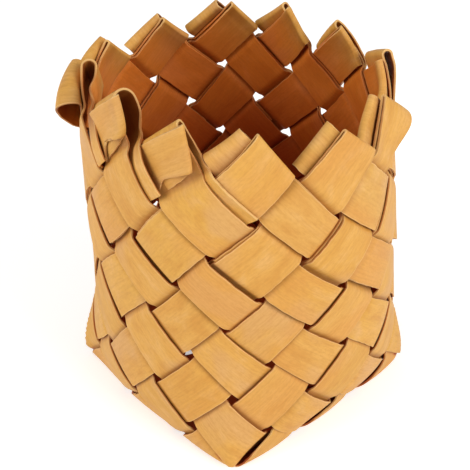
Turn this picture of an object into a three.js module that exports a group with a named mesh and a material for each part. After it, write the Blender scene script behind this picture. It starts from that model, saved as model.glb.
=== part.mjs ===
import * as THREE from 'three';

// Driving lengths, in millimetres.
const splintWidth = 23.4;
const sideGap = 3.1;
const splintThickness = 1;
const layerGap = 0.3;
const rimLoopRadius = 2.5;
const rimLoopReach = 3;

// Counts of the weave. Half of a set of splints crosses one side of the base. Rows are counted in half
// diamonds up from the edge of the base.
const splintsPerSide = 3;
const toothRow = 8;
const flapLastRow = 5;
const wallCount = 4;
const loopSteps = 4;

// Shares that shape the wall, and the turn of the weave from the base to the teeth, in radians.
const roundingRows = 1.26;
const roundingPower = 1.5;
const roundingCorrectionShare = 0.104;
const riseShare = 1.007;
const taperShare = 0.076;
const wallTwist = -0.153;
const probeShare = 0.001;

// How the wall stands off its even round at the rim, as shares of the splint's width: outward, round to the
// right and up, each by the front, the right side and the two diagonals.
const outwardLeanShares = [0.128, -0.197, 0.115];
const sidewaysLeanShares = [-0.162, 0, 0];
const upwardLeanShares = [0, -0.077, -0.132];

// How each tooth is bent at its peak, from the front round to the right, as shares of the splint's width:
// outward, round to the right, and further outward on its right side. The bend starts a little below the teeth.
const bendStartRow = 6.9;
const bendRows = 2;
const bendPower = 1.5;
const bendSpreadPower = 4;
const toothBendShares = [
  [-0.2, 0, -0.13],
  [-0.03, 0.19, 0.27],
  [0, 0.09, 0.3],
  [0, -0.28, -0.16],
  [-0.26, -0.26, -0.34],
  [-0.4, -0.07, 0.1],
  [-0.6, 0.08, -0.2],
  [-0.52, 0.19, 0.11],
  [-0.34, 0.34, 0.18],
  [-0.12, -0.15, 0.23],
  [0.08, 0.47, -0.26],
  [-0.06, 0.36, -0.14],
];

// The folded ends at each tooth, from the front round to the right: first the end that folds outward, then the
// one that folds inward. For each: how much wider than a flat fold it bends, as a share of the loop's radius,
// then how far it reaches over the weave and how much further towards the peak, as shares of the loop's reach.
const rimFoldShares = [
  [[0.1, 0.2, 0.5], [0.66, 1.2, -0.6]],
  [[0.14, 0.5, -0.4], [0.78, 0.8, 0]],
  [[0.22, 0, 0.5], [0.86, 2.5, -1.2]],
  [[0.74, 1, -0.7], [0.22, 2.5, -0.6]],
  [[0.54, -0.7, 0.2], [0.14, 0, 0.6]],
  [[0.34, 0.8, -0.3], [0.1, 1.8, 0.1]],
  [[0.62, 0.6, -0.4], [0.1, 1.6, 0.3]],
  [[0.54, -0.3, -0.8], [0.1, 0.5, -0.3]],
  [[0.78, 0, -0.9], [0.14, -0.3, -0.4]],
  [[1.54, -1.6, -1.1], [1.34, -1.6, -0.3]],
  [[0.22, 0.9, 1.1], [2.1, -1.6, -0.3]],
  [[0.14, -0.7, 1.4], [0.74, -0.7, 0.2]],
];

// Lengths and shares that follow from them.
const pitch = splintWidth + sideGap;
const halfDiagonal = pitch / Math.SQRT2;
const halfWidthShare = splintWidth / (2 * pitch);
const layerStep = splintThickness + layerGap;
const halfStep = layerStep / 2;
const halfThickness = splintThickness / 2;
const baseReach = Math.round(splintsPerSide);
const wallSpan = 2 * baseReach;
const aroundCount = wallCount * wallSpan;
const roundRadius = aroundCount * halfDiagonal / (2 * Math.PI);
const cornerRadius = baseReach * pitch;
const baseHeight = halfStep + halfThickness;
const quarterTurn = Math.PI / 2;
const baseTurn = Math.PI / 4;
const across = [-halfWidthShare, 0, halfWidthShare];

// The wall's outline at the edge of the base: a square with its corners on the axes of the weave.
function squarePoint(around) {
  const wrapped = ((around % aroundCount) + aroundCount) % aroundCount;
  const wall = Math.floor(wrapped / wallSpan);
  const share = wrapped / wallSpan - wall;
  const start = new THREE.Vector2(0, -cornerRadius).rotateAround(new THREE.Vector2(), wall * quarterTurn);
  const end = new THREE.Vector2(0, -cornerRadius).rotateAround(new THREE.Vector2(), (wall + 1) * quarterTurn);
  return start.lerp(end, share);
}

// The wall's outline higher up: a circle as long around as the square.
function roundPoint(around) {
  const angle = 2 * Math.PI * around / aroundCount - quarterTurn;
  return new THREE.Vector2(Math.cos(angle), Math.sin(angle)).multiplyScalar(roundRadius);
}

// How far the bends of the two nearest teeth carry a place outward and round to the right.
function toothBend(around, row) {
  const height = Math.pow(Math.max(row - bendStartRow, 0) / bendRows, bendPower) * splintWidth;
  const before = Math.floor((around - 1) / 2);
  const past = (around - 1) / 2 - before;
  const near = Math.pow(Math.cos(quarterTurn * past), bendSpreadPower);
  const far = Math.pow(Math.sin(quarterTurn * past), bendSpreadPower);
  const bend = { outward: 0, sideways: 0 };
  for (const [tooth, weight, off] of [[before, near, past], [before + 1, far, past - 1]]) {
    const count = toothBendShares.length;
    const [lean, sway, yaw] = toothBendShares[((tooth % count) + count) % count];
    const share = height * weight / (near + far);
    bend.outward += share * (lean + 2 * yaw * off);
    bend.sideways += share * sway;
  }
  return bend;
}

// The middle surface of the wall. The square turns into the circle over the lowest rows, the wall draws in a
// little towards the rim and leans off its even round there, and the whole weave turns round by the twist.
function wallPoint(around, row) {
  const height = row / toothRow;
  const rounded = row > 0 ? 1 - Math.exp(-Math.pow(row / roundingRows, roundingPower)) : 0;
  const girth = 1 - taperShare * height;
  const keep = 1 + roundingCorrectionShare * rounded * (1 - rounded);
  const flat = squarePoint(around).lerp(roundPoint(around), rounded).multiplyScalar(girth * keep);
  const angle = 2 * Math.PI * around / aroundCount;
  const waves = [Math.cos(angle), Math.sin(angle), Math.sin(2 * angle)];
  const leanBy = (shares) => height * splintWidth * waves.reduce((sum, wave, i) => sum + wave * shares[i], 0);
  const bend = toothBend(around, row);
  const outward = flat.clone().normalize();
  const sideways = new THREE.Vector2(-outward.y, outward.x);
  flat.addScaledVector(outward, leanBy(outwardLeanShares) + bend.outward);
  flat.addScaledVector(sideways, leanBy(sidewaysLeanShares) + bend.sideways);
  flat.rotateAround(new THREE.Vector2(), wallTwist * height);
  return new THREE.Vector3(flat.x, flat.y, baseHeight + riseShare * halfDiagonal * row + leanBy(upwardLeanShares));
}

// The outward normal of the wall, from three near points.
function wallNormal(around, row) {
  const low = Math.max(row - probeShare, 0);
  const sideways = wallPoint(around + probeShare, row).sub(wallPoint(around - probeShare, row));
  const upward = wallPoint(around, row + probeShare).sub(wallPoint(around, low));
  return sideways.cross(upward).normalize();
}

// A place of the weave as it lies unfolded flat, in pitches from the middle of the base: its row over the edge
// of the base and its way around the wall.
function unfold(x, y) {
  const wall = (Math.floor(Math.atan2(y, x) / quarterTurn) + 1 + wallCount) % wallCount;
  const lean = Math.abs(x) - Math.abs(y);
  const around = wall * wallSpan + baseReach + (wall % 2 === 0 ? lean : -lean);
  return { around, row: Math.abs(x) + Math.abs(y) - baseReach };
}

// The folded place of a point along and across a splint of either set, with the outward normal. The second set
// runs across the first. On the edge of the base the two normals are summed, so that both sides of the fold
// keep their thickness.
function foldedFrame(set, along, across) {
  const [x, y] = set === 'a' ? [along, across] : [-across, along];
  const place = unfold(x, y);
  const down = new THREE.Vector3(0, 0, -1);
  if (place.row < -probeShare) {
    return { point: new THREE.Vector3(x * pitch, y * pitch, baseHeight), normal: down };
  }
  const point = wallPoint(place.around, Math.max(place.row, 0));
  const normal = wallNormal(place.around, Math.max(place.row, 0));
  if (place.row < probeShare) {
    normal.setZ(0).normalize().add(down);
  }
  return { point, normal };
}

// The layer of a splint in the cell at a place along it, in half steps outward from the middle surface. The
// splint that rises to the right is the outer one in the teeth. Below the flaps there are two layers. Where
// the rim's flaps lie between them there are four.
function layerAt(lane, cell) {
  const outer = Math.abs(Math.round(cell + lane + baseReach + toothRow)) % 2 === 1;
  const row = Math.round(Math.abs(cell) + Math.abs(lane) - baseReach);
  if (row < flapLastRow) {
    return outer ? 1 : -1;
  }
  const risesRight = cell * lane < 0;
  if (risesRight) {
    return outer ? 1 : -3;
  }
  return outer ? 3 : -1;
}

// The fold at one end of a splint, in real lengths. The ends that rise to the right fold outward.
function foldAt(set, lane, end) {
  const toothCell = toothRow + baseReach - Math.abs(lane);
  const place = set === 'a' ? unfold(end * toothCell, lane) : unfold(-lane, end * toothCell);
  const tooth = Math.round((place.around - 1) / 2 + rimFoldShares.length) % rimFoldShares.length;
  const side = end * lane < 0 ? 1 : -1;
  const [wideShare, reachShare, peakShare] = rimFoldShares[tooth][side > 0 ? 0 : 1];
  return {
    side,
    radius: halfStep + wideShare * rimLoopRadius,
    reach: reachShare * rimLoopReach,
    slant: peakShare * rimLoopReach,
  };
}

// The stations of one splint from the tip of one flap to the tip of the other. Each has its place along the
// splint, its distance outward from the middle surface, its reach past that place with what the peak's side
// adds, and the turn of its faces round the rim's fold. A wide fold settles back within its tooth.
function splintStations(set, lane) {
  const toothCell = toothRow + baseReach - Math.abs(lane);
  const edge = toothCell + halfWidthShare;
  const stations = [];
  for (let cell = -toothCell; cell <= toothCell; cell += 1) {
    for (const share of across) {
      const out = layerAt(lane, cell) * halfStep;
      const along = cell + share;
      const fold = foldAt(set, lane, Math.sign(along));
      const { reach, slant } = Math.abs(along) === edge ? fold : { reach: 0, slant: 0 };
      stations.push({ along, out, reach, slant, turn: -quarterTurn, side: 1, end: Math.sign(along) });
    }
  }
  const flapEnd = (end) => {
    const { side, radius, reach, slant } = foldAt(set, lane, end);
    const found = [];
    for (let step = 1; step <= loopSteps; step += 1) {
      const turn = Math.PI * step / loopSteps - quarterTurn;
      const out = side * (halfStep + radius * (1 + Math.sin(turn)));
      found.push({ along: end * edge, out, reach: reach + radius * Math.cos(turn), slant, turn, side, end });
    }
    for (let row = toothRow; row >= flapLastRow; row -= 1) {
      const cell = end * (row + baseReach - Math.abs(lane));
      const layer = (layerAt(lane, cell) + 2 * side) * halfStep;
      const first = row === toothRow ? 1 : 0;
      const shares = across.toReversed().slice(first, row > flapLastRow ? across.length : across.length - 1);
      for (const share of shares) {
        const settling = row === toothRow && share === 0 ? side * (radius - halfStep) : 0;
        const along = cell + end * share;
        const out = layer + settling;
        found.push({ along, out, reach: 0, slant: 0, turn: quarterTurn, side, end });
      }
    }
    return found;
  };
  return [...flapEnd(-1).reverse(), ...stations, ...flapEnd(1)];
}

// Whether a quad is split along its rising diagonal. The wall is split upright, so that it follows its round,
// and the cells that are folded over the edge of the base are split along that edge.
function splitsRising(lane, along, offset) {
  const upright = along * (lane + offset) > 0;
  const onEdge = Math.abs(unfold(along, lane + offset).row) < probeShare;
  return upright !== onEdge;
}

// One splint as a closed ribbon: two faces of strips, joined along both edges and across both tips. A reach
// past a place follows the straight line to it from the middle of its cell.
function splintGeometry(set, lane) {
  const stations = splintStations(set, lane);
  const columns = across.length;
  const positions = [];
  for (const face of [1, -1]) {
    for (const station of stations) {
      for (const offset of across) {
        const { point, normal } = foldedFrame(set, station.along, lane + offset);
        const inner = foldedFrame(set, station.along - station.end * halfWidthShare, lane + offset).point;
        const tangent = point.clone().sub(inner).normalize();
        const out = station.out + face * halfThickness * Math.sin(station.turn);
        const turned = face * halfThickness * station.side * Math.cos(station.turn);
        const towardsPeak = offset * Math.sign(lane) / halfWidthShare;
        const reach = station.reach + station.slant * towardsPeak + turned;
        point.addScaledVector(normal, out).addScaledVector(tangent, reach);
        positions.push(point.x, point.y, point.z);
      }
    }
  }
  const at = (face, station, column) => (face * stations.length + station) * columns + column;
  const indices = [];
  const quad = (a, b, c, d) => indices.push(a, c, b, a, d, c);
  const last = stations.length - 1;
  for (let i = 0; i < last; i += 1) {
    const middle = (stations[i].along + stations[i + 1].along) / 2;
    const forward = stations[i + 1].along > stations[i].along;
    for (let j = 0; j + 1 < columns; j += 1) {
      const rising = splitsRising(lane, middle, (across[j] + across[j + 1]) / 2);
      if (rising === forward) {
        quad(at(0, i, j), at(0, i, j + 1), at(0, i + 1, j + 1), at(0, i + 1, j));
        quad(at(1, i, j), at(1, i + 1, j), at(1, i + 1, j + 1), at(1, i, j + 1));
      } else {
        quad(at(0, i + 1, j), at(0, i, j), at(0, i, j + 1), at(0, i + 1, j + 1));
        quad(at(1, i, j + 1), at(1, i, j), at(1, i + 1, j), at(1, i + 1, j + 1));
      }
    }
    quad(at(0, i, 0), at(0, i + 1, 0), at(1, i + 1, 0), at(1, i, 0));
    quad(at(0, i + 1, columns - 1), at(0, i, columns - 1), at(1, i, columns - 1), at(1, i + 1, columns - 1));
  }
  for (let j = 0; j + 1 < columns; j += 1) {
    quad(at(0, 0, j + 1), at(0, 0, j), at(1, 0, j), at(1, 0, j + 1));
    quad(at(0, last, j), at(0, last, j + 1), at(1, last, j + 1), at(1, last, j));
  }
  const geometry = new THREE.BufferGeometry();
  geometry.setAttribute('position', new THREE.Float32BufferAttribute(positions, 3));
  geometry.setIndex(indices);
  return geometry.rotateZ(baseTurn);
}

// The splints of one set lie side by side across the base, and those of the second set run across them.
const group = new THREE.Group();
for (const set of ['a', 'b']) {
  for (let number = 1; number <= wallSpan; number += 1) {
    const lane = number - (wallSpan + 1) / 2;
    const material = new THREE.MeshStandardMaterial({ color: 0xd9a050, roughness: 0.6, metalness: 0 });
    const splint = new THREE.Mesh(splintGeometry(set, lane), material);
    splint.name = `splint_${set}${number}`;
    group.add(splint);
  }
}

// The wall leans a little more to one side, so the whole basket is moved over the middle of its outline.
const middle = new THREE.Box3().setFromObject(group).getCenter(new THREE.Vector3());
for (const splint of group.children) {
  splint.geometry.translate(-middle.x, -middle.y, 0);
}

export default group;
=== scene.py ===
import collections
import math

import bpy
import numpy as np
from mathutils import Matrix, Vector


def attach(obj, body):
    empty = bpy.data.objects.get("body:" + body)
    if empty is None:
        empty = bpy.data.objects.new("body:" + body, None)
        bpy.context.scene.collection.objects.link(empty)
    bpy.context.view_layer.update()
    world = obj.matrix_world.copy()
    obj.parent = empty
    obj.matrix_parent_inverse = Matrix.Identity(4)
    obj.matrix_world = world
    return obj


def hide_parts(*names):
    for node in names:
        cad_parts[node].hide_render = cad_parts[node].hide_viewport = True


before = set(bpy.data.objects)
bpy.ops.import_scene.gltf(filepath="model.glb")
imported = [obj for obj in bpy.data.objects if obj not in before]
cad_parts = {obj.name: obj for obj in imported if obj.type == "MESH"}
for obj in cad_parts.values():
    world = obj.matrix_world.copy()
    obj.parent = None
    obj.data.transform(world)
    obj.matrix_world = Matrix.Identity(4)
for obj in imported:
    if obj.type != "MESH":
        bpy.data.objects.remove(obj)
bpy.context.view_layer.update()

# The camera stands before the basket's front corner, above the rim, and looks down into the mouth, at a
# point a little to the left of the weave's middle.
weave_middle = Vector((0.001, 0.003, 0))
camera_turn = math.radians(46.04)
camera_rise = math.radians(35.68)
camera_distance = 0.5367
camera_centre_level = 0.075
aim_level = 0.0758
aim_leftward = 0.0038
camera_data = bpy.data.cameras.new("camera")
camera_data.lens = 86.7
camera_data.sensor_width = 36
camera = bpy.data.objects.new("camera", camera_data)
bpy.context.scene.collection.objects.link(camera)
away = Vector((math.sin(camera_turn) * math.cos(camera_rise),
               -math.cos(camera_turn) * math.cos(camera_rise),
               math.sin(camera_rise)))
rightward = Vector((math.cos(camera_turn), math.sin(camera_turn), 0))
camera.location = weave_middle + Vector((0, 0, camera_centre_level)) + away * camera_distance
camera_aim = weave_middle + Vector((0, 0, aim_level)) - rightward * aim_leftward
camera.rotation_euler = (camera.location - camera_aim).to_track_quat("Z", "Y").to_euler()
bpy.context.scene.camera = camera

# Twelve flat splints of pale wood, about a thumb wide and a millimetre thick, are plaited on the diagonal,
# over one and under one, across a square base and up a round wall. At the rim each end is folded over and
# tucked back down the wall. Nothing but the weave holds them.
splint_width = 0.0234
side_gap = 0.0031
splint_thickness = 0.001
layer_gap = 0.0003
half_width = splint_width / 2
half_step = (splint_thickness + layer_gap) / 2
base_height = half_step + splint_thickness / 2
quarter_turn = math.pi / 2
seed = np.random.default_rng(12)

# Places in the flat weave are counted in pitches from its middle, a pitch being from one splint's middle
# to the next one's. Rows are counted in half diamonds up from the edge of the base, and places around the
# wall in half diamonds to the right from the front corner.
pitch = splint_width + side_gap
half_diagonal = pitch / math.sqrt(2)
splints_to_middle = 3
wall_span = 2 * splints_to_middle
around_count = 4 * wall_span
tooth_row = 8
flap_row = 5
base_fold_rows = 0.28
corner_radius = splints_to_middle * pitch
round_radius = around_count * half_diagonal / (2 * math.pi)

# The wall goes from square to round within two rows of the base, narrows and twists as it rises, and is
# fuller on the right. Its rim leans to the front and to the left and is a little oval. Near the base the
# weave swells out over the four sides, mostly on the left, and the front corner is drawn to the left.
# Lengths are in metres and the twist is in radians.
rounding_rows = 1.26
rounding_power = 1.5
narrowing = 0.076
fullness = 0.104
row_rise = 1.007
twist = -0.1526
bulge = 0.0008
bulge_rightward = 0.0022
rim_forward = 0.0030
rim_leftward = 0.0046
rim_oval = 0.0027
rim_swayed_left = 0.0038
rim_lower_right = 0.0018
rim_lower_oval = 0.0031
side_swell = 0.0019
side_swell_leftward = 1.2
side_swell_row = 0.2
side_swell_spread = 1.5
front_corner_drawn = 0.0022
front_corner_spread = 1.2

# Where hands and drying have pulled the weave off its even place: how far around, which row, and how far it
# has slipped to the right and up, in millimetres. Each slip reaches so many half diamonds.
slip_reach = 1.5
slips = ((-6, 0, -1, 1.5), (-4, 2, 1.5, -2), (-4, 4, -2, 2.5), (-2, 4, 3, 1), (-2, 6, 0, -2), (-1, 0, -2, 0),
         (-1, 1, -1.5, -3), (-1, 7, -4, 1), (0, 2, 2, 2), (0, 8, 1.5, -0.5), (1, 1, 0, -1.5), (2, 8, 1.5, 1),
         (3, 1, -2, 0.5), (3, 3, -1.5, 3), (3, 7, -1, -2), (4, 6, 0.5, -1), (5, 1, 0, -1), (5, 3, 2, 0.5),
         (5, 5, 1, -3), (8, 8, 2, 0.5), (10, 6, -2, 0), (10, 8, 1.5, -1.5), (14, 6, -2, 0), (14, 8, 1.5, 2),
         (15, 7, 0.5, -2), (16, 8, -2, -1), (17, 7, 2, 1))

# How each tooth of the rim is bent at its peak, going round to the right from the front: how far outward,
# how far to the right, and how much further outward on its right side, in millimetres.
tooth_bends = ((-5, 0.5, -3), (-1, 4.5, 6.5), (0, 2, 1), (2.5, -6.5, -3.5), (-6, -4.5, -11), (-9, -1.5, 2.5),
               (-14, 2, -5), (-12.5, 4.5, 2.5), (-8, 8, 4), (-2, -3.5, 4), (0, 11, -1), (-2.5, 8.5, 0))
tooth_foot_row = 6.9
tooth_bend_rows = 2
tooth_bend_power = 1.5
beyond_teeth_rows = 3


def turned(x, y, angle):
    return x * np.cos(angle) - y * np.sin(angle), x * np.sin(angle) + y * np.cos(angle)


def swelling(around):
    """How far the weave swells out over the sides of the base."""
    round_turn = 2 * math.pi * around / around_count
    return side_swell * (1 - side_swell_leftward * np.sin(round_turn)) * np.sin(2 * round_turn) ** 2


def wall_place(around, row):
    """The middle of the wall at a place around it and a row above the edge of the base."""
    wrapped = np.mod(around, around_count)
    wall = np.floor(wrapped / wall_span)
    share = wrapped / wall_span - wall
    square_x, square_y = turned(corner_radius * share, -corner_radius * (1 - share), wall * quarter_turn)
    round_turn = 2 * math.pi * around / around_count
    rightness, frontness, ovalness = np.sin(round_turn), np.cos(round_turn), np.sin(2 * round_turn)
    round_x, round_y = round_radius * rightness, -round_radius * frontness
    rounded = 1 - np.exp(-np.power(np.maximum(row, 0) / rounding_rows, rounding_power))
    height = row / tooth_row
    girth = (1 - narrowing * height) * (1 + fullness * rounded * (1 - rounded))
    x = (square_x + (round_x - square_x) * rounded) * girth
    y = (square_y + (round_y - square_y) * rounded) * girth

    outward = height * (rim_forward * frontness - rim_leftward * rightness + rim_oval * ovalness)
    outward = outward + 4 * height * (1 - height) * (bulge + bulge_rightward * rightness)
    outward = outward + swelling(around) * np.exp(-(row - side_swell_row) ** 2 / side_swell_spread)
    sideways = height * -rim_swayed_left * frontness
    upward = height * (-rim_lower_right * rightness - rim_lower_oval * ovalness)
    for slip_around, slip_row, right, up in slips:
        apart = np.mod(around - slip_around + around_count / 2, around_count) - around_count / 2
        nearness = np.exp(-(apart ** 2 + (row - slip_row) ** 2) / slip_reach ** 2) / 1000
        sideways = sideways + right * nearness
        upward = upward + up * nearness

    # Each place near the rim follows the bends of the two teeth beside it, mostly of the nearer one.
    bent = (np.clip(row - tooth_foot_row, 0, beyond_teeth_rows) / tooth_bend_rows) ** tooth_bend_power / 1000
    before = np.floor((wrapped - 1) / 2).astype(int)
    past = (wrapped - 1) / 2 - before
    weight = 1 / (1 + np.tan(quarter_turn * np.clip(past, 1e-6, 1 - 1e-6)) ** 4)
    for tooth, tooth_share, off in ((before, weight, past), (before + 1, 1 - weight, past - 1)):
        lean, sway, yaw = np.moveaxis(np.array(tooth_bends, float)[tooth % len(tooth_bends)], -1, 0)
        outward = outward + bent * tooth_share * (lean + yaw * 2 * off)
        sideways = sideways + bent * tooth_share * sway
    reach = np.hypot(x, y)
    x, y = x + (x * outward - y * sideways) / reach, y + (y * outward + x * sideways) / reach
    x, y = turned(x, y, twist * height)
    return np.stack([x, y, base_height + row_rise * half_diagonal * row + upward], -1)


def folded(x, y):
    """Where a place of the flat weave comes to lie once the wall is bent up round the base."""
    ax, ay = np.abs(x), np.abs(y)
    row = ax + ay - splints_to_middle
    wall = np.where(y < 0, np.where(x > 0, 0, 3), np.where(x > 0, 1, 2))
    around = wall * wall_span + splints_to_middle + np.where(wall % 2 == 0, ax - ay, ay - ax)
    swell = 1 + swelling(around) * np.clip(1 + row / 2, 0, 1) / (np.hypot(x, y) * pitch + 1e-6)

    def on_base(pulled):
        return np.stack([(x - np.sign(x) * pulled / 2) * pitch * swell,
                         (y - np.sign(y) * pulled / 2) * pitch * swell,
                         np.full_like(x, base_height)], -1)

    before_fold = on_base(np.maximum(row + base_fold_rows, 0))
    at_fold = on_base(row)
    past_fold = wall_place(around, np.maximum(row, base_fold_rows))
    t = np.clip((row + base_fold_rows) / (2 * base_fold_rows), 0, 1)[..., None]
    bend = (1 - t) ** 2 * before_fold + 2 * t * (1 - t) * at_fold + t ** 2 * past_fold
    place = np.where((row > base_fold_rows)[..., None], past_fold, bend)
    from_front = x ** 2 + (y + splints_to_middle) ** 2
    place[..., 0] -= front_corner_drawn * np.exp(-from_front / front_corner_spread)
    return place


def weave_place(letter, along, across):
    return folded(along, across) if letter == "a" else folded(-across, along)


def layer(lane, cell):
    """The layer of a splint at a crossing, in half steps outward from the middle of the weave."""
    outer = round(cell + lane + splints_to_middle + tooth_row) % 2 == 1
    row = round(abs(cell) + abs(lane) - splints_to_middle)
    if row < flap_row:
        return 1 if outer else -1
    if cell * lane < 0:
        return 1 if outer else -3
    return 3 if outer else -1


# How far apart the two splints of each crossing stand at its middle. The wood is stiff and arches over the
# splint that it crosses, and along the base's edge at the front right three crossings are much looser.
cells = np.arange(-11.5, 12)
crossings = [(x, y) for x in cells for y in cells]
looseness = dict(zip(crossings, seed.uniform(0.0001, 0.0004, len(crossings))))
for crossing in ((0.5, -2.5), (1.5, -1.5), (2.5, -0.5)):
    looseness[crossing] = 0.0024
flat_share = 0.40
dive_share = 0.10
base_edge_arch = 0.6


def heights(letter, lane, along, flap_layers):
    """How far outward a splint lies at many places along it."""
    out = np.zeros_like(along)
    for i, s in enumerate(along):
        cell = math.floor(s) + 0.5
        near = s - cell
        row = round(abs(cell) + abs(lane) - splints_to_middle)
        here = layer(lane, cell) + flap_layers
        there = layer(lane, cell + (1 if near > 0 else -1)) + flap_layers
        t = max(0, (abs(near) - flat_share) / dive_share)
        arch = looseness[(cell, lane) if letter == "a" else (-lane, cell)] * (1 - 4 * near ** 2)
        arch = arch * here / (1 if row < flap_row else 3)
        if row <= 0 and here > 0:
            arch = arch * (base_edge_arch if row == 0 else 0)
        out[i] = (here + (there - here) * 0.5 * t * t) * half_step + arch
    return out


# The two folded ends at each tooth of the rim, by the tooth's place around: first the end that folds outward,
# then the end that folds inward. For each: the bend's radius; how far it stands above the weave, and how much
# higher on the peak's side; the length over which the flap settles back; how far the flap swings towards the
# peak; how much wider the bend is at the peak, as a share; how far the flap's lower edge is drawn up; and how
# far the end stands apart from the one that it crosses. Lengths are in millimetres.
folds = {
    1: ((1, 0.5, 1.5, 12, 0, 0, 0, 0), (2.5, 3.5, -2, 18, 0, 0, 0, 0)),
    3: ((1, 1.5, -1.5, 12, 0, 0, 0, 0), (2, 3, 0, 18, 0, 0, 0, 1)),
    5: ((2.5, -2, 1.5, 20, 0, -0.8, 0, 0), (1, 6, -4, 16, 0, 0, 0, 1.5)),
    7: ((2, 3, -2, 24, 0, 0, 0, 0), (1, 8, -2, 18, 0, 0, 0, 2.5)),
    9: ((2, -2, 0.5, 20, 0, 0, 0, 0), (1, 0, 2, 12, 0, 0, 0, 0)),
    11: ((1.5, 2.5, -1, 16, 0, 0, 0, 0), (1, 5.5, 0.5, 12, 0, 0, 0, 0)),
    13: ((2, 2, -1, 18, 0, 0, 0, 0), (1, 5, 1, 12, 0, 0, 0, 0)),
    15: ((2, -1, -2.5, 18, 0, 0, 0, 0), (1, 1.5, -1, 12, 0, 0, 0, 0)),
    17: ((2, -1, -5.5, 18, 0, 0, 0, 0), (1, -1, -1, 12, 0, 0, 0, 0)),
    19: ((4, -6.5, -5, 26, 0, -0.3, 0, 0), (3, -6, -1, 38, 12, 0, 0, 0)),
    21: ((1.5, 3.5, 4, 12, 0, 0, 7, 0), (5.5, -4, -1, 31, 8, 0, 0, 0)),
    23: ((1, -1.5, 3.5, 12, 0, 0, 5, 0), (2.5, -2, 0.5, 24, 5, 0, 0, 0)),
}
# At two teeth the end that folds outward is pressed in where the open loop of the next tooth crosses it: by
# how many millimetres, and how far below the rim and over what length, in metres.
pressed_in = {21: 5, 23: 5.5}
pressed_below_edge = 0.030
pressed_spread = 0.011
Fold = collections.namedtuple("Fold", "side radius above higher settle swing wider arched apart pressed")

# How the folded ends lie: how many pitches down a flap is tucked, or reaches where it hangs open; and, in
# metres, over what lengths it swings, is drawn up, loses its slant and stops counting as turned over, and
# over what lengths the wall's stretch leads into the bend. A flap that swings past the peak clears it by a
# little, and one that takes more than 24 mm to settle is slow at first.
tucked_flap = tooth_row - flap_row + 0.1
open_flap = 1.45
swing_run = 0.028
drawn_run = 0.012
drawn_at_bend = 0.6
slant_run = 0.025
turned_over_run = 0.010
before_bend_run = 0.02
before_bend_turned_run = 0.008
clear_of_peak = 0.0028
clear_run = 0.005
slow_settle = 24

# How finely each splint is shaped: the length between two stations, the stations round each bend, and the
# columns across.
station_gap = 0.0011
bend_stations = 13
column_count = 11
columns = np.linspace(-1, 1, column_count)
level = np.ones(column_count)


def fold_of(letter, lane, end):
    """The fold at one end of a splint. Its side is 1 where the end folds outward, -1 where it folds in."""
    cell = end * (tooth_row + splints_to_middle - abs(lane))
    x, y = (cell, lane) if letter == "a" else (-lane, cell)
    wall = (0 if x > 0 else 3) if y < 0 else (1 if x > 0 else 2)
    lean = abs(x) - abs(y)
    tooth = round(wall * wall_span + splints_to_middle + (lean if wall % 2 == 0 else -lean)) % around_count
    if end * lane < 0:
        return Fold(1, *folds[tooth][0], pressed_in.get(tooth, 0))
    return Fold(-1, *folds[tooth][1], 0)


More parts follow.
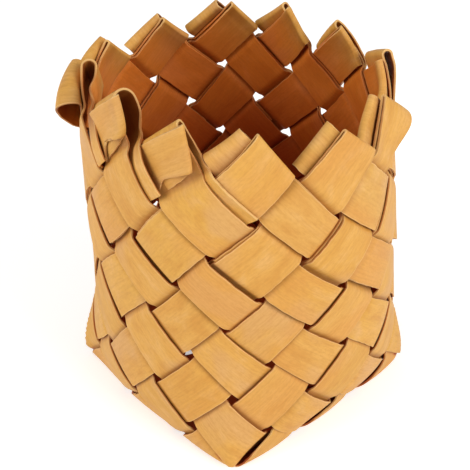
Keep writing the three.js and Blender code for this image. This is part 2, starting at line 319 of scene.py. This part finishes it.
def splint_way(letter, lane):
    """The way along a splint, up to each fold, round it, and back down the wall: how far along the weave
    each station is, and for each station and column how far it reaches on past the weave, how far outward it
    lies, how far it is drawn aside, how hollow its bend is, and how far it is turned over on the rim."""
    tooth_cell = tooth_row + splints_to_middle - abs(lane)
    edge = tooth_cell + half_width / pitch
    uphill = math.copysign(1, lane)
    peakward = columns * uphill
    footward = np.maximum(-peakward, 0) ** 2
    folds_here = {end: fold_of(letter, lane, end) for end in (-1, 1)}
    tops = {end: edge * pitch + fold.above / 1000 for end, fold in folds_here.items()}
    stations = np.linspace(-tops[-1], tops[1], round((tops[-1] + tops[1]) / station_gap))
    along = np.clip(stations / pitch, -edge, edge)
    reach = (stations - along * pitch)[:, None] * level
    out = heights(letter, lane, along, 0)[:, None] * level
    swung, hollow, turned_over = np.zeros((3, len(stations), column_count))
    flaps = {}
    for end, fold in folds_here.items():
        # The bend, a half turn.
        top = tops[end]
        top_along = min(top / pitch, edge)
        radii = fold.radius / 1000 * (1 + fold.wider * peakward)
        start_out = heights(letter, lane, np.array([end * top_along]), 0)[0]
        flap_start = heights(letter, lane, np.array([end * top_along]), 2 * fold.side)[0]
        opened = fold.side * fold.apart / 1000
        turns = np.linspace(0, math.pi, bend_stations + 1)[1:, None]
        bend_out = start_out + opened + fold.side * radii * (1 - np.cos(turns))
        bend_reach = end * (top - top_along * pitch + radii * np.sin(turns))

        # The flap, which settles back between the layers of the wall.
        length = top - (tooth_cell - (open_flap if fold.swing else tucked_flap)) * pitch
        back = np.arange(station_gap, length, station_gap)
        back_along = np.minimum((top - back) / pitch, edge)
        back_reach = end * np.maximum(top - back - edge * pitch, 0)
        lies = heights(letter, lane, end * back_along, 2 * fold.side)
        settled = np.minimum(back / (fold.settle / 1000), 1) ** max(fold.settle / slow_settle, 1)
        ease = 0.5 + 0.5 * np.cos(math.pi * settled)
        back_out = lies[:, None] + (start_out + opened + fold.side * 2 * radii - flap_start) * ease[:, None]

        # The flap swings towards the peak, and its lower edge is drawn up.
        swinging = fold.swing / 1000 * np.sin(quarter_turn * np.minimum(back / swing_run, 1)) ** 2
        beyond = np.maximum(swinging[:, None] - half_width * (1 - peakward), 0)
        back_out = back_out + clear_of_peak * np.sin(quarter_turn * np.minimum(beyond / clear_run, 1)) ** 2
        drawn_back = drawn_at_bend + (1 - drawn_at_bend) * np.minimum(back / drawn_run, 1)
        drawn_up = fold.arched / 1000 * np.concatenate([np.full(bend_stations, drawn_at_bend), drawn_back])
        let_down = np.clip((back - drawn_run) / drawn_run, 0, 1)
        drawn_up[bend_stations:] *= 1 - np.sin(quarter_turn * let_down) ** 2
        shifted = drawn_up[:, None] * footward
        shifted[bend_stations:] += swinging[:, None]
        slant = end * fold.higher / 1000 * peakward
        fading = np.maximum(1 - back / slant_run, 0)[:, None] ** 2
        hollowness = fold.side * min(fold.radius / 2, 1)
        flap = (np.concatenate([np.full(bend_stations, end * top_along), end * back_along]),
                np.concatenate([bend_reach + slant, back_reach[:, None] + slant * fading]),
                np.concatenate([bend_out, back_out]),
                uphill * shifted,
                hollowness * np.concatenate([np.cos(turns[:, 0]), -ease])[:, None] * level,
                np.concatenate([np.ones(bend_stations), np.exp(-back / turned_over_run)])[:, None] * level)
        flaps[end] = [values[::end] for values in flap]

        # The end of the wall's stretch leads into the bend.
        to_bend = top - end * stations
        near_bend = np.clip(1 - to_bend / before_bend_run, 0, 1)[:, None] ** 2
        reach += slant * near_bend
        out += opened * near_bend
        swung += uphill * drawn_up[0] * near_bend * footward
        hollow += hollowness * near_bend
        turned_over += np.clip(1 - to_bend / before_bend_turned_run, 0, 1)[:, None]
    wall_stretch = (along, reach, out, swung, hollow, turned_over)
    way = [np.concatenate(values) for values in zip(flaps[-1], wall_stretch, flaps[1])]
    for end, fold in folds_here.items():
        below_edge = (edge - end * way[0]) * pitch
        crossed = np.exp(-((below_edge - pressed_below_edge) / pressed_spread) ** 2)
        way[2] = way[2] - fold.pressed / 1000 * crossed[:, None]
    return way


def wavering(count, wavelength, amount):
    """A smooth uneven line of a given wavelength, seeded, with a value for each station."""
    knots = seed.normal(0, 1, int(count * station_gap / wavelength) + 4)
    steps = np.arange(count) * station_gap / wavelength
    i = steps.astype(int)
    f = steps - i
    f = f * f * (3 - 2 * f)
    return amount * (knots[i] * (1 - f) + knots[i + 1] * f)


# How much narrower the splints are than their full width, as shares: everywhere, at the back of the wall,
# and low on it, and where these begin and end, in metres. Then how unevenly they are split, each as a
# wavelength and an amount: in width, from side to side, along each cut edge, and in how far they are
# cupped. These are in metres too, but for the first amount, which is a share.
narrower = 0.045
narrower_behind = 0.012
narrower_below = 0.05
back_depth = 0.05
back_height = 0.08
below_height = 0.05
foot_height = 0.005
uneven_width = (0.05, 0.012)
uneven_side = (0.06, 0.0003)
uneven_edge = (0.0025, 0.00008)
uneven_cup = (0.08, 0.00012)

# The small step, in pitches, over which the weave's slope is taken, and how the splints' edges are worn.
slope_step = 0.004
worn_edge = 0.00014
edge_angle = math.radians(50)
smooth_angle = math.radians(40)

# Which faces get the painted inside shade: those that look up, below a level near the base; those that look
# inward on the wall; and the cut sides of a splint that lies low there. Then where painted shade darkens the
# crevices and how strong it is: under another splint, from a share of the way to the next crossing, on low
# cut sides, and at the folds.
base_face_level = 0.010
base_face_fade = 0.006
inner_fade = 0.6
cut_side_facing = 0.5
cut_side_fade = 0.3
lies_low = 0.0004
hid_from = 0.50
hid_fade = 0.06
shade_under_splint = 0.65
shade_on_cut_side = 0.8
shade_at_fold = 1.5

# The wood's colours. The tints are multiplied in and the others are mixed in. The faces inside the basket
# get painted shade, darker and redder: the inside shade tint, and the deep shade tint as well low down.
fresh_wood = (0.735, 0.38, 0.08)
pale_band = (0.79, 0.43, 0.11)
brown_band = (0.64, 0.29, 0.055)
pale_cloud = (0.80, 0.46, 0.16)
brown_cloud = (0.62, 0.27, 0.045)
ring_brown = (0.66, 0.31, 0.065)
grey_patch = (0.70, 0.385, 0.15)
warm_patch = (0.72, 0.32, 0.07)
fibre_brown = (0.50, 0.20, 0.035)
pore_brown = (0.52, 0.22, 0.04)
knot_brown = (0.22, 0.08, 0.02)
# The edge cream is a painted highlight: the light catching the splints' cut edges.
edge_highlight_cream = (0.84, 0.54, 0.22)
inside_shade_tint = (1.0, 0.57, 0.34)
deep_shade_tint = (0.72, 0.44, 0.38)
# The crevice tint is painted shade under other splints, on low cut sides, and in and under the folds.
crevice_shade_tint = (0.42, 0.24, 0.15)


def wood(kind, **settings):
    """A new node of the material that is being made."""
    made = nodes.new(kind)
    for key, value in settings.items():
        setattr(made, key, value)
    return made


def stretched(scale_along, scale_across, shift):
    """The splint's own lengthwise and sideways places, stretched for a pattern that runs with the grain."""
    mapping = wood("ShaderNodeMapping")
    mapping.inputs["Scale"].default_value = (scale_along, scale_across, 1)
    mapping.inputs["Location"].default_value = (shift, shift * 0.7, 0)
    links.new(where.outputs["UV"], mapping.inputs["Vector"])
    return mapping.outputs["Vector"]


def noise(vector, detail, roughness=0.5, distortion=0.0):
    made = wood("ShaderNodeTexNoise")
    made.inputs["Scale"].default_value = 1
    made.inputs["Detail"].default_value = detail
    made.inputs["Roughness"].default_value = roughness
    made.inputs["Distortion"].default_value = distortion
    links.new(vector, made.inputs["Vector"])
    return made.outputs["Fac"]


def ranged(value, low, high, to_low=0.0, to_high=1.0):
    """A value's range from low to high, eased onto another range."""
    made = wood("ShaderNodeMapRange", interpolation_type="SMOOTHSTEP")
    for key, number in (("From Min", low), ("From Max", high), ("To Min", to_low), ("To Max", to_high)):
        made.inputs[key].default_value = number
    links.new(value, made.inputs["Value"])
    return made.outputs["Result"]


def tinted(colour, factor, tint, blend="MIX"):
    """A colour, mixed with or multiplied by another by the factor of a socket."""
    made = wood("ShaderNodeMix", data_type="RGBA", blend_type=blend)
    for socket, value in (("A", colour), ("B", tint)):
        target = [s for s in made.inputs if s.name == socket and s.type == "RGBA"][0]
        if isinstance(value, tuple):
            target.default_value = (*value, 1)
        else:
            links.new(value, target)
    links.new(factor, made.inputs[0])
    return [s for s in made.outputs if s.type == "RGBA"][0]


def math_of(operation, first, second):
    made = wood("ShaderNodeMath", operation=operation)
    for socket, value in zip(made.inputs, (first, second)):
        if isinstance(value, (int, float)):
            socket.default_value = value
        else:
            links.new(value, socket)
    return made.outputs[0]


for letter in "ab":
    for number in range(1, wall_span + 1):
        lane = number - (wall_span + 1) / 2
        along, reach, out, swung, hollow, turned_over = splint_way(letter, lane)
        count = len(along)

        # A split edge is never quite straight or even.
        line = weave_place(letter, along, np.full(count, lane))
        behind = np.clip(line[:, 1] / back_depth, 0, 1) * np.clip(line[:, 2] / back_height, 0, 1)
        below = np.clip(1 - line[:, 2] / below_height, 0, 1) * np.clip(line[:, 2] / foot_height, 0, 1)
        narrowed = narrower + narrower_behind * behind + narrower_below * below
        wide = half_width * (1 + wavering(count, *uneven_width) - narrowed)
        across = columns * wide[:, None] + wavering(count, *uneven_side)[:, None] + swung
        for edge_column in (0, -1):
            across[:, edge_column] += wavering(count, *uneven_edge)
        out = out + wavering(count, *uneven_cup)[:, None] * columns ** 2

        # Each station and column is set off from the weave's own face, outward and along it.
        s = np.repeat(along[:, None], column_count, 1)
        t = lane + across / pitch
        place = weave_place(letter, s, t)
        tangent = weave_place(letter, s + slope_step, t) - weave_place(letter, s - slope_step, t)
        sidewise = weave_place(letter, s, t + slope_step) - weave_place(letter, s, t - slope_step)
        normal = np.cross(sidewise, tangent)
        normal /= np.linalg.norm(normal, axis=-1, keepdims=True)
        tangent /= np.linalg.norm(tangent, axis=-1, keepdims=True)
        grid = place + normal * out[..., None] + tangent * reach[..., None]
        paces = np.linalg.norm(np.diff(grid[:, column_count // 2], axis=0), axis=-1)
        walked = np.concatenate([[0], np.cumsum(paces)])

        bpy.ops.object.select_all(action="DESELECT")
        bpy.ops.mesh.primitive_grid_add(x_subdivisions=column_count - 1, y_subdivisions=count - 1, size=1)
        splint = bpy.context.object
        splint.name = f"bent_splint_{letter}{number}"
        splint.data.name = splint.name
        gx, gy, gz = grid.reshape(-1, 3).T
        wx, wy = turned(gx, gy, math.pi / 4)
        standing = np.stack([wx, wy, np.maximum(gz, splint_thickness / 2)], -1) + weave_middle
        splint.data.vertices.foreach_set("co", standing.astype(np.float32).ravel())
        uv = np.stack([np.repeat(walked[:, None], column_count, 1),
                       np.repeat(columns[None] * half_width, count, 0)], -1).reshape(-1, 2)
        corners = np.zeros(len(splint.data.loops), np.int32)
        splint.data.loops.foreach_get("vertex_index", corners)
        splint.data.uv_layers[0].data.foreach_set("uv", uv[corners].astype(np.float32).ravel())
        from_over = np.array([abs(a - math.floor(a) - 0.5) for a in along])
        over = np.array([layer(lane, math.floor(a) + 0.5) > 0 for a in along])
        marks = {"lying": out, "hollow": hollow, "turned_over": turned_over,
                 "hid_outside": np.where(over, from_over, 1 - from_over)[:, None] * level,
                 "hid_inside": np.where(over, 1 - from_over, from_over)[:, None] * level}
        for name, values in marks.items():
            marked = splint.data.attributes.new(name, "FLOAT", "POINT")
            marked.data.foreach_set("value", values.ravel().astype(np.float32))
        splint.data.update()
        solid = splint.modifiers.new("thickness", "SOLIDIFY")
        solid.thickness = splint_thickness
        solid.offset = 0
        solid.use_even_offset = False
        bpy.ops.object.modifier_apply(modifier=solid.name)
        bevel = splint.modifiers.new("worn_edges", "BEVEL")
        bevel.width = worn_edge
        bevel.segments = 1
        bevel.limit_method = "ANGLE"
        bevel.angle_limit = edge_angle
        bpy.ops.object.modifier_apply(modifier=bevel.name)
        bpy.ops.object.shade_smooth_by_angle(angle=smooth_angle)

        # Painted shade: the faces that look into the basket are darker and redder than the ones outside, but
        # not on the rim's folds, which the light reaches. Painted shade also darkens the wood under other
        # splints, on low cut sides, and in and under the folds.
        spots = np.zeros(len(splint.data.vertices) * 3, np.float32)
        splint.data.vertices.foreach_get("co", spots)
        spots = spots.reshape(-1, 3) - np.array(weave_middle)
        looks = np.array([v.vector for v in splint.data.vertex_normals], np.float32)
        from_axis = np.hypot(spots[:, 0], spots[:, 1]) + 1e-6
        outward = (looks[:, 0] * spots[:, 0] + looks[:, 1] * spots[:, 1]) / from_axis
        low = np.clip((base_face_level - spots[:, 2]) / base_face_fade, 0, 1)
        inward = looks[:, 2] * low - outward * (1 - low)
        for name in marks:
            marks[name] = np.zeros(len(spots), np.float32)
            splint.data.attributes[name].data.foreach_get("value", marks[name])
            splint.data.attributes.remove(splint.data.attributes[name])
        on_wall = 1 - marks["turned_over"]
        # Painted shade on the faces that look into the basket, and on the low cut sides there, but not on the
        # folds.
        cut_side = np.clip((cut_side_facing - np.abs(inward)) / cut_side_fade, 0, 1)
        cut_side = cut_side * np.clip(-marks["lying"] / lies_low, 0, 1)
        painted_inside_shade = np.clip(np.maximum(inward / inner_fade, cut_side), 0, 1) * on_wall
        # Painted shade under other splints, on low cut sides, in the hollows of the folds and under them.
        hid = np.where(inward > 0, marks["hid_inside"], marks["hid_outside"])
        under_splint = np.clip((hid - hid_from) / hid_fade, 0, 1) * on_wall * shade_under_splint
        in_fold = np.clip(-marks["hollow"] * inward * shade_at_fold, 0, 1)
        under_fold = np.clip(-looks[:, 2] * shade_at_fold, 0, 1) * marks["turned_over"]
        painted_crevice_shade = np.maximum.reduce([under_splint, in_fold, cut_side * on_wall * shade_on_cut_side, under_fold])
        for name, values in (("painted_inside_shade", painted_inside_shade), ("painted_crevice_shade", painted_crevice_shade)):
            shade = splint.data.attributes.new(name, "FLOAT", "POINT")
            shade.data.foreach_set("value", values.astype(np.float32))

        # Veneer: fine fibres and pores, soft lengthwise bands, clouds, a faint ring figure, greyer and
        # warmer patches, small knots, and a painted highlight along the cut edges, with painted shade on top
        # inside the basket and in the crevices. The patterns' scales are per metre, along and across the
        # grain.
        material = bpy.data.materials.new(f"veneer_{letter}{number}")
        material.use_nodes = True
        nodes, links = material.node_tree.nodes, material.node_tree.links
        shader = nodes["Principled BSDF"]
        where = wood("ShaderNodeUVMap", uv_map=splint.data.uv_layers[0].name)
        shift = number * 7.3 + (40 if letter == "b" else 0)
        fibres = noise(stretched(60, 900, shift), 4, 0.7)
        pores = noise(stretched(500, 900, shift + 4), 2, 0.6)
        bands = noise(stretched(9, 130, shift), 3, 0.55, 0.4)
        clouds = noise(stretched(70, 110, shift + 1), 3, 0.55, 0.6)
        rings = noise(stretched(16, 60, shift + 3), 1, 0.5, 1.5)
        patches = noise(stretched(24, 30, shift + 5), 2, 0.5, 0.3)
        warm = noise(stretched(11, 20, shift + 9), 1)
        own_wood = tuple(np.array(fresh_wood) * (1 + seed.normal(0, 0.03)) + seed.normal(0, 0.008, 3))
        colour = tinted(own_wood, ranged(bands, 0.35, 0.75, 0, 0.6), pale_band)
        colour = tinted(colour, ranged(bands, 0.50, 0.28, 0, 0.35), brown_band)
        colour = tinted(colour, ranged(clouds, 0.50, 0.72, 0, 0.55), pale_cloud)
        colour = tinted(colour, ranged(clouds, 0.50, 0.28, 0, 0.5), brown_cloud)
        ring_lines = math_of("PINGPONG", math_of("MULTIPLY", rings, 9), 0.5)
        colour = tinted(colour, ranged(ring_lines, 0.30, 0.02, 0, 0.14), ring_brown)
        colour = tinted(colour, ranged(patches, 0.53, 0.66, 0, 0.6), grey_patch)
        colour = tinted(colour, ranged(warm, 0.50, 0.68, 0, 0.5), warm_patch)
        colour = tinted(colour, ranged(fibres, 0.32, 0.60, 0.24, 0), fibre_brown)
        colour = tinted(colour, ranged(pores, 0.30, 0.60, 0.20, 0), pore_brown)
        knots = wood("ShaderNodeTexVoronoi")
        knots.inputs["Scale"].default_value = 1
        links.new(stretched(45, 70, shift + 2), knots.inputs["Vector"])
        chosen = wood("ShaderNodeSeparateColor")
        links.new(knots.outputs["Color"], chosen.inputs["Color"])
        knot = math_of("MULTIPLY", ranged(knots.outputs["Distance"], 0.085, 0.03),
                       ranged(chosen.outputs[0], 0.84, 0.86, 0, 0.75))
        colour = tinted(colour, knot, knot_brown)
        # A pale line along each side edge of the splint is a painted highlight, where light catches the cut
        # edge.
        split = wood("ShaderNodeSeparateXYZ")
        links.new(where.outputs["UV"], split.inputs["Vector"])
        from_middle = math_of("ABSOLUTE", split.outputs["Y"], 0)
        painted_edge_highlight = ranged(from_middle, half_width - 0.0004, half_width - 0.0001, 0, 0.6)
        colour = tinted(colour, painted_edge_highlight, edge_highlight_cream)
        # Painted shade: the faces inside the basket are made darker and redder, and more so low down.
        inner_shade = wood("ShaderNodeAttribute", attribute_name="painted_inside_shade")
        colour = tinted(colour, inner_shade.outputs["Fac"], inside_shade_tint, "MULTIPLY")
        standing_at = wood("ShaderNodeSeparateXYZ")
        links.new(wood("ShaderNodeTexCoord").outputs["Object"], standing_at.inputs["Vector"])
        deep_painted_shade = math_of("MULTIPLY", inner_shade.outputs["Fac"], ranged(standing_at.outputs["Z"], 0.15, 0.06))
        colour = tinted(colour, deep_painted_shade, deep_shade_tint, "MULTIPLY")
        # Painted shade in the crevices under splints, on low cut sides and in and under the folds.
        crevice_shade = wood("ShaderNodeAttribute", attribute_name="painted_crevice_shade")
        colour = tinted(colour, crevice_shade.outputs["Fac"], crevice_shade_tint, "MULTIPLY")
        links.new(colour, shader.inputs["Base Color"])
        links.new(ranged(bands, 0.2, 0.8, 0.48, 0.62), shader.inputs["Roughness"])
        shader.inputs["Specular IOR Level"].default_value = 0.25
        relief = math_of("ADD", math_of("MULTIPLY", fibres, 0.00005), math_of("MULTIPLY", bands, 0.00035))
        bump = wood("ShaderNodeBump")
        bump.inputs["Distance"].default_value = 1
        bump.inputs["Strength"].default_value = 0.6
        links.new(relief, bump.inputs["Height"])
        links.new(bump.outputs["Normal"], shader.inputs["Normal"])
        splint.data.materials.append(material)

        node = f"splint_{letter}{number}"
        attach(splint, "root")
        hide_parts(node)

# The floor and the light: a plain white floor in a bright soft studio. The floor shows white to the camera
# except where the basket shades it. Two square lamps stand to the front right and the front left.
floor_size = 20
floor_drop = 0.0002
floor_glow = 0.45
room_light = 0.44
lamps = (("right_lamp", (1.27, 0.2, 0.7), 12.5), ("left_lamp", (-0.4, -1.3, 0.7), 10.5))
lamp_size = 0.9
bpy.ops.object.select_all(action="DESELECT")
bpy.ops.mesh.primitive_plane_add(size=floor_size, location=(0, 0, -floor_drop))
floor = bpy.context.object
floor.name = "floor"
white = bpy.data.materials.new("white_floor")
white.use_nodes = True
nodes, links = white.node_tree.nodes, white.node_tree.links
matte = nodes["Principled BSDF"]
matte.inputs["Base Color"].default_value = (0.9, 0.9, 0.9, 1)
matte.inputs["Roughness"].default_value = 1
seen = wood("ShaderNodeLightPath")
seen_or_mirrored = math_of("MAXIMUM", seen.outputs["Is Camera Ray"], seen.outputs["Is Glossy Ray"])
glow = wood("ShaderNodeEmission")
links.new(math_of("MULTIPLY", seen_or_mirrored, floor_glow), glow.inputs["Strength"])
both = wood("ShaderNodeAddShader")
links.new(matte.outputs[0], both.inputs[0])
links.new(glow.outputs[0], both.inputs[1])
links.new(both.outputs[0], nodes["Material Output"].inputs["Surface"])
floor.data.materials.append(white)

world = bpy.data.worlds.new("studio")
bpy.context.scene.world = world
world.use_nodes = True
nodes, links = world.node_tree.nodes, world.node_tree.links
seen = wood("ShaderNodeLightPath")
sky = nodes["Background"]
sky.inputs["Color"].default_value = (1, 1, 1, 1)
links.new(math_of("MAXIMUM", seen.outputs["Is Camera Ray"], room_light), sky.inputs["Strength"])
for name, place, energy in lamps:
    lamp_data = bpy.data.lights.new(name, "AREA")
    lamp_data.energy = energy
    lamp_data.size = lamp_size
    lamp = bpy.data.objects.new(name, lamp_data)
    lamp.location = place
    lamp.rotation_euler = Vector(place).to_track_quat("Z", "Y").to_euler()
    bpy.context.scene.collection.objects.link(lamp)
bpy.context.scene.view_settings.view_transform = "Standard"
